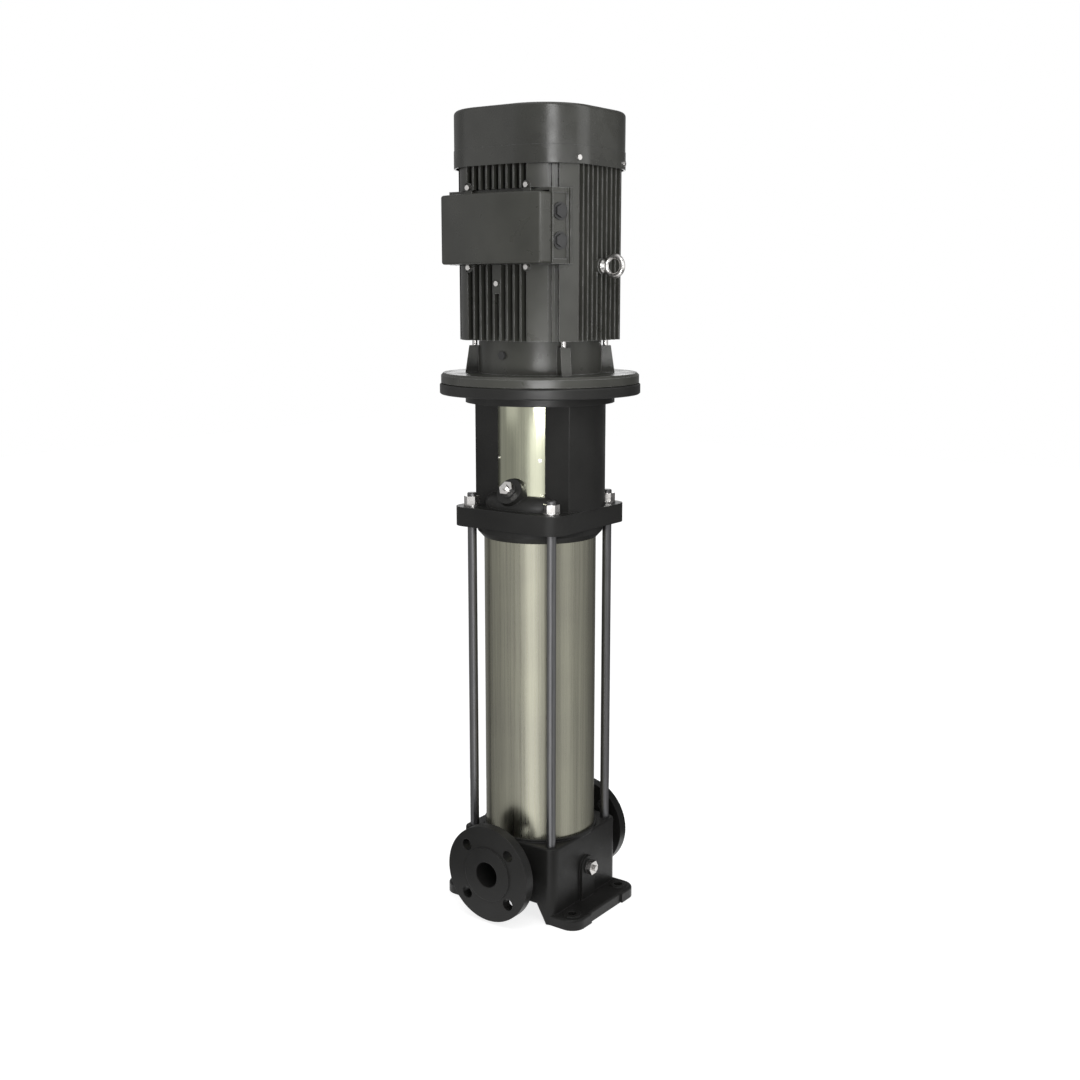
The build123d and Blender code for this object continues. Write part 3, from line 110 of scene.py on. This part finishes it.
class Finish(Nodes):
    """A material of the pump. Its sharp edges catch the light as if rounded off by a radius."""

    bevel_samples = 6

    def __init__(self, name, rounding):
        material = bpy.data.materials.new(name)
        super().__init__(material)
        finishes[name] = material
        self.place = self.add("TexCoord").outputs["Object"]
        self.normal = self.bevelled(rounding)

    def bevelled(self, radius):
        return self.add("Bevel", {"Radius": radius}, samples=self.bevel_samples).outputs[0]

    def noise(self, scale, detail, roughness=0.55, stretch=(1, 1, 1)):
        """Noise in the object's own coordinates, drawn out where a factor of stretch is small."""
        place = self.place
        if stretch != (1, 1, 1):
            place = self.add("Mapping", {"Vector": self.place, "Scale": stretch}).outputs[0]
        inputs = {"Vector": place, "Scale": scale, "Detail": detail, "Roughness": roughness}
        return self.add("TexNoise", inputs).outputs["Fac"]

    def blend(self, amount, first, second):
        # A colour Mix node has its colour sockets at 6 and 7, and its colour result at output 2.
        return self.add("Mix", {0: amount, 6: first, 7: second}, data_type="RGBA").outputs[2]

    def edges(self, radius):
        """A mask of the sharp edges: it starts where the rounded normal leaves the true one."""
        normals = {0: self.bevelled(radius), 1: self.add("NewGeometry").outputs["Normal"]}
        agreement = self.add("VectorMath", normals, operation="DOT_PRODUCT").outputs["Value"]
        return self.span(agreement, low=0.995, high=0.86)

    def bump(self, height, strength, distance):
        inputs = {"Height": height, "Strength": strength, "Distance": distance, "Normal": self.normal}
        self.normal = self.add("Bump", inputs).outputs[0]

    def close(self, **sockets):
        """Puts the values, named with _ for a space, and the normal so far into the shader."""
        shader = self.tree.nodes["Principled BSDF"]
        for key, value in sockets.items():
            self.put(shader.inputs[key.replace("_", " ")], value)
        self.put(shader.inputs["Normal"], self.normal)


def grey(value, warmth=0.0):
    return (value * (1 + warmth), value, value * (1 - warmth), 1)


def toned(colour, factor):
    """The colour made lighter or darker, and solid."""
    return tuple(min(1, channel * factor) for channel in colour) + (1,)


# ------------------------------------------------------------------ kinds of finish
def paint(name, colour, worn, grain, grain_depth, roughness, rounding, gloss):
    """Satin paint on a casting or a pressing: fine grain, faint blotches and rubbed edges."""
    look = Finish(name, rounding)
    blotches = look.span(look.noise(scale=9.0, detail=3.0), low=0.35, high=0.65)
    body = look.blend(blotches, toned(colour, 0.80), toned(colour, 1.18))
    patches = look.span(look.noise(scale=60.0, detail=6.0), low=0.34, high=0.58, to_low=0.2, to_high=0.85)
    rubbed = look.math("MULTIPLY", look.edges(radius=0.0009), patches)
    look.bump(look.noise(grain, detail=5.0, roughness=0.6), strength=0.55, distance=grain_depth)
    sheen = look.noise(scale=35.0, detail=5.0)
    look.close(
        Base_Color=look.blend(rubbed, body, worn),
        Roughness=look.span(sheen, low=0.3, high=0.7, to_low=roughness - 0.06, to_high=roughness + 0.09),
        Specular_IOR_Level=gloss,
    )


def drawn_metal(name, colour, roughness, stretch, streak, depth, rounding=0.0004, tone=0.10, brushed=0.0):
    """Bare metal with fine streaks, long where it was drawn, rolled or turned, and faint stains."""
    look = Finish(name, rounding)
    lines = look.noise(streak, detail=6.0, roughness=0.65, stretch=stretch)
    body = look.blend(look.span(lines, low=0.3, high=0.7), toned(colour, 1 - tone), toned(colour, 1 + tone))
    stains = look.span(look.noise(scale=7.0, detail=3.0), low=0.4, high=0.7, to_high=0.25)
    look.bump(lines, strength=0.35, distance=depth)
    brushing = {}
    if brushed:
        round_axis = look.add("Tangent", direction_type="RADIAL", axis="Z")
        brushing = {"Anisotropic": brushed, "Tangent": round_axis.outputs[0]}
    look.close(
        Base_Color=look.blend(stains, body, grey(0.25, warmth=0.05)),
        Metallic=1.0,
        Roughness=look.span(lines, low=0.3, high=0.7, to_low=roughness - 0.05, to_high=roughness + 0.07),
        **brushing,
    )


def plated(name, brightness, roughness):
    """Zinc plate: a slightly cloudy, crystalline bright metal."""
    look = Finish(name, rounding=0.0005)
    crystals = look.add("TexVoronoi", {"Vector": look.place, "Scale": 900.0}).outputs["Distance"]
    cloud = look.noise(scale=120.0, detail=4.0)
    dull = grey(brightness * 0.82, warmth=0.02)
    bright = grey(brightness * 1.08, warmth=0.03)
    look.bump(crystals, strength=0.12, distance=0.00005)
    look.close(
        Base_Color=look.blend(look.span(cloud, low=0.3, high=0.7), dull, bright),
        Metallic=1.0,
        Roughness=look.span(cloud, low=0.3, high=0.7, to_low=roughness - 0.06, to_high=roughness + 0.08),
    )


def moulded(name, brightness, roughness, grain=700.0):
    """Moulded plastic, rubber or carbide with a fine grain."""
    look = Finish(name, rounding=0.0004)
    look.bump(look.noise(grain, detail=3.0), strength=0.4, distance=0.00006)
    tone = look.noise(scale=14.0, detail=3.0)
    dark, light = grey(brightness * 0.85), grey(brightness * 1.2)
    look.close(
        Base_Color=look.blend(look.span(tone, low=0.35, high=0.65), dark, light),
        Roughness=look.span(tone, low=0.3, high=0.7, to_low=roughness - 0.05, to_high=roughness + 0.06),
    )


# ------------------------------------------------------------------ the finishes, by material slot
paint(
    "cast_paint", (0.0165, 0.0163, 0.0155), worn=grey(0.045), grain=480.0, grain_depth=0.00035,
    roughness=0.38, rounding=0.0016, gloss=0.26,
)
paint(
    "motor_paint", (0.042, 0.0422, 0.0365), worn=grey(0.34), grain=900.0, grain_depth=0.00012,
    roughness=0.31, rounding=0.0008, gloss=0.42,
)
paint(
    "sheet_paint", (0.036, 0.0362, 0.0320), worn=grey(0.10), grain=1400.0, grain_depth=0.00004,
    roughness=0.27, rounding=0.0010, gloss=0.5,
)

upright = (1, 1, 0.01)  # streaks along the pump's axis
rod_wise = (1, 1, 0.05)
even = (1, 1, 1)
turned = (0.1, 0.1, 1)  # streaks that run round, as a lathe leaves them
layered = (0.02, 0.02, 1)
wound = (0.05, 0.05, 1)
drawn_metal(
    "sleeve_steel", (0.465, 0.458, 0.365), roughness=0.28, stretch=upright, streak=260.0, depth=0.00003,
    tone=0.16, brushed=0.6,
)
drawn_metal(
    "guard_steel", (0.63, 0.64, 0.485), roughness=0.20, stretch=upright, streak=330.0, depth=0.00002,
    rounding=0.0003, brushed=0.6,
)
drawn_metal(
    "rod_steel", (0.20, 0.20, 0.205), roughness=0.38, stretch=rod_wise, streak=500.0, depth=0.00003,
    rounding=0.0005, tone=0.15,
)
plated("plated_steel", brightness=0.70, roughness=0.26)
drawn_metal("stainless", (0.60, 0.59, 0.56), roughness=0.30, stretch=even, streak=300.0, depth=0.00003)
drawn_metal("shaft_steel", (0.62, 0.62, 0.63), roughness=0.22, stretch=turned, streak=900.0, depth=0.00002)
drawn_metal("sintered_iron", (0.24, 0.24, 0.25), roughness=0.48, stretch=even, streak=600.0, depth=0.00010)
drawn_metal("bearing_steel", (0.72, 0.72, 0.74), roughness=0.14, stretch=turned, streak=900.0, depth=0.00001)
drawn_metal("lamination", (0.36, 0.37, 0.39), roughness=0.42, stretch=layered, streak=1500.0, depth=0.00008)
drawn_metal("copper", (0.62, 0.27, 0.11), roughness=0.33, stretch=wound, streak=700.0, depth=0.0003)
moulded("seal_black", brightness=0.020, roughness=0.62)
moulded("carbide", brightness=0.060, roughness=0.30, grain=1200.0)
moulded("black_plastic", brightness=0.024, roughness=0.45)
drawn_metal("brass", (0.62, 0.44, 0.17), roughness=0.28, stretch=turned, streak=900.0, depth=0.00002)

slot_of = {part["node"]: part["material_slot"] for part in frame["record"]["subparts"]}
for name, piece in nodes.items():
    material = finishes[slot_of[name]]
    if piece.material_slots:
        for place in piece.material_slots:
            place.material = material
    else:
        piece.data.materials.append(material)


# ------------------------------------------------------------------ mesh helpers
def mesh_object(name, shape):
    """Turns a bmesh into an object of the scene."""
    data = bpy.data.meshes.new(name)
    shape.to_mesh(data)
    shape.free()
    piece = bpy.data.objects.new(name, data)
    scene.collection.objects.link(piece)
    return piece


def mesh_piece(name, shape, slot, body, sharp_from=35.0):
    """Turns a bmesh into a piece that rides on a body and takes a finish."""
    bmesh.ops.recalc_face_normals(shape, faces=shape.faces)
    piece = mesh_object(name, shape)
    piece.data.materials.append(finishes[slot])
    for face in piece.data.polygons:
        face.use_smooth = True
    piece.data.set_sharp_from_angle(angle=radians(sharp_from))
    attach(piece, body)
    return piece


def spin_profile(shape, points, foot, axis, steps, closed=False):
    """Turns (radius, height) points round an axis; a profile that isn't closed gets end caps."""
    up = Vector(axis).normalized()
    side = up.orthogonal().normalized()
    across = up.cross(side)
    rings = []
    for step in range(steps):
        angle = 2 * pi * step / steps
        out = side * cos(angle) + across * sin(angle)
        rings.append([shape.verts.new(foot + out * radius + up * height) for radius, height in points])
    count = len(points)
    for here, there in zip(rings, rings[1:] + rings[:1]):
        for index in range(count if closed else count - 1):
            after = (index + 1) % count
            shape.faces.new((here[index], here[after], there[after], there[index]))
    if not closed:
        for end in (0, count - 1):
            shape.faces.new([ring[end] for ring in rings])


# ------------------------------------------------------------------ lifting eyes, forged round
eye_low, eye_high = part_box("lifting_eyes")
eye_height = (eye_low.z + eye_high.z) / 2
eye_radius = (eye_high.z - eye_low.z) / 2
wire_radius = eye_radius * 4 / 18
wire_centre = eye_radius - wire_radius * 1.02  # a little in, so that the ring stays inside its CAD box
wire_steps, ring_steps, collar_steps = 20, 56, 40
ring_lift = 0.003  # from the foot of the collar to the ring
collar_profile = [
    # radius, height
    (0.0088, 0.0),
    (0.0092, 0.0006),
    (0.0092, 0.0028),
    (0.0086, 0.0036),
    (0.0066, 0.0050),
    (0.0050, 0.0066),
]
wire_profile = []
for step in range(wire_steps):
    turn = 2 * pi * step / wire_steps
    wire_profile.append((wire_centre + wire_radius * cos(turn), wire_radius * sin(turn)))

forging = bmesh.new()
for side in (-1, 1):
    centre = Vector((0, side * (eye_high.y - eye_radius), eye_height))
    spin_profile(forging, wire_profile, centre, (1, 0, 0), ring_steps, closed=True)
    seat = Vector((0, side * (eye_high.y - 2 * eye_radius - ring_lift), eye_height))
    spin_profile(forging, collar_profile, seat, (0, side, 0), collar_steps)
eyes = mesh_piece("lifting_eyes_forged", forging, "plated_steel", "pump")
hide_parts("lifting_eyes")

# ------------------------------------------------------------------ floor
floor_size = 12.0
floor_drop = 0.0002  # keeps the floor and the feet from lying in one plane
floor_grey, floor_roughness = 0.42, 0.9
floor_glow = 0.80  # seen on top of the light that the floor throws back, which brings it to white
bpy.ops.mesh.primitive_plane_add(size=floor_size, location=(0, 0, cad_box[0][2] - floor_drop))
floor = bpy.context.object
floor.name = "studio_floor"
floor_paint = bpy.data.materials.new("studio_floor")
ground = Nodes(floor_paint)
matt = ground.tree.nodes["Principled BSDF"]
matt.inputs["Base Color"].default_value = grey(floor_grey)
matt.inputs["Roughness"].default_value = floor_roughness
glow_now = ground.math("MULTIPLY", ground.seen(), floor_glow)
glow = ground.add("Emission", {"Color": white, "Strength": glow_now})
ground.show(ground.add("AddShader", {0: matt.outputs[0], 1: glow.outputs[0]}))
floor.data.materials.append(floor_paint)

# ------------------------------------------------------------------ world: white to see, dimmer as light
lit_level, seen_level = 0.55, 1.0
scene.world = bpy.data.worlds.new("studio")
air = Nodes(scene.world)
sky = air.tree.nodes["Background"].inputs
sky["Color"].default_value = white
air.put(sky["Strength"], air.span(air.seen(), to_low=lit_level, to_high=seen_level))

# ------------------------------------------------------------------ lamps and cards
front = 180 + 35.8  # the azimuth of the camera's side, in degrees
near, far = 0.26, 0.52  # how far the two rows of lamps stand from the pump's axis
lamp_foot, lamp_top = 0.005, 1.7  # the lowest and the highest edge of the lamps
sleeve_top = 0.59  # the near row ends here, level with the foot of the pump head
card_step = 5  # degrees from one fold of a curved card to the next


def softbox(name, azimuth, distance, low, high, width, radiance):
    """An upright area lamp of even brightness that faces the pump's axis."""
    lamp = bpy.data.lights.new(name, "AREA")
    lamp.shape = "RECTANGLE"
    lamp.size = width
    lamp.size_y = high - low
    lamp.energy = radiance * pi * width * (high - low)
    piece = bpy.data.objects.new(name, lamp)
    scene.collection.objects.link(piece)
    turn = radians(front + azimuth)
    piece.location = (distance * cos(turn), distance * sin(turn), (low + high) / 2)
    aim = Vector((-piece.location.x, -piece.location.y, 0))
    piece.rotation_euler = aim.to_track_quat("-Z", "Y").to_euler()
    piece.visible_camera = False


def card(name, first, last, distance, low, high, tone):
    """A curved grey card from one azimuth to another, which only reflections show."""
    shape = bmesh.new()
    steps = max(1, round((last - first) / card_step))
    posts = []
    for step in range(steps + 1):
        turn = radians(front + first + (last - first) * step / steps)
        x, y = distance * cos(turn), distance * sin(turn)
        posts.append((shape.verts.new((x, y, low)), shape.verts.new((x, y, high))))
    for here, there in zip(posts, posts[1:]):
        shape.faces.new((here[0], there[0], there[1], here[1]))
    piece = mesh_object(name, shape)
    piece.visible_camera = False
    piece.visible_diffuse = False
    piece.visible_shadow = False
    piece.visible_transmission = False
    coat = bpy.data.materials.new(name)
    shade = Nodes(coat)
    shade.show(shade.add("Emission", {"Color": grey(tone), "Strength": 1.0}))
    piece.data.materials.append(coat)


def ring_of_cards(name, distance, low, high, tones):
    """Cards all round the pump, each one from where the last one ended."""
    first = -180
    for number, (last, tone) in enumerate(tones):
        card(f"{name}_{number}", first, last, distance, low, high, tone)
        first = last


# Each lamp: name, azimuth from the front, distance, lower and upper edge, width, radiance.
softbox("sleeve_key", -14, near, lamp_foot, sleeve_top, 0.096, 0.92)
softbox("sleeve_side", 46, near, lamp_foot, sleeve_top, 0.10, 0.33)
softbox("guard_key", -9, far, 0.46, 0.73, 0.46, 1.0)
softbox("bell_key", 2, far, 0.74, 0.81, 0.20, 24.0)
softbox("housing_key", 38, far, 0.84, 1.20, 0.28, 1.5)
softbox("cover_key", 13, far, 1.055, lamp_top, 0.14, 6.5)
softbox("side_key", 78, far, 0.86, lamp_top, 0.30, 1.2)
softbox("left_fill", -78, far, 0.72, lamp_top, 0.45, 0.45)
softbox("back_fill", 180, far, lamp_foot, lamp_top, 0.40, 1.5)

# Each card: the azimuth from the front at which it ends, and its grey.
near_tones = [
    (-135, 0.30),
    (-105, 0.26),
    (-72, 0.33),
    (-46, 0.44),
    (-30, 0.50),
    (-4, 0.60),
    (10, 0.72),
    (29, 0.28),
    (62, 0.38),
    (95, 0.42),
    (118, 0.20),
    (140, 0.06),
    (180, 0.30),
]
far_tones = [
    (-130, 0.30),
    (-60, 0.32),
    (-38, 0.45),
    (16, 0.35),
    (95, 0.30),
    (140, 0.12),
    (180, 0.30),
]

# Each ring stands just outside its row of lamps.
ring_of_cards("low_wall", near + 0.01, low=0.0, high=0.60, tones=near_tones)
ring_of_cards("high_wall", far + 0.03, low=0.44, high=2.0, tones=far_tones)

# ------------------------------------------------------------------ camera
camera_place = (-1.6597, -1.1980, 0.9526)
view_direction = Vector((0.7976, 0.5758, -0.1798))
lens = bpy.data.cameras.new("camera")
lens.lens = 45.0
lens.sensor_width = 36.0
lens.clip_end = 60.0
camera = bpy.data.objects.new("camera", lens)
scene.collection.objects.link(camera)
camera.location = camera_place
camera.rotation_euler = view_direction.to_track_quat("-Z", "Y").to_euler()
scene.camera = camera
scene.view_settings.view_transform = "Standard"
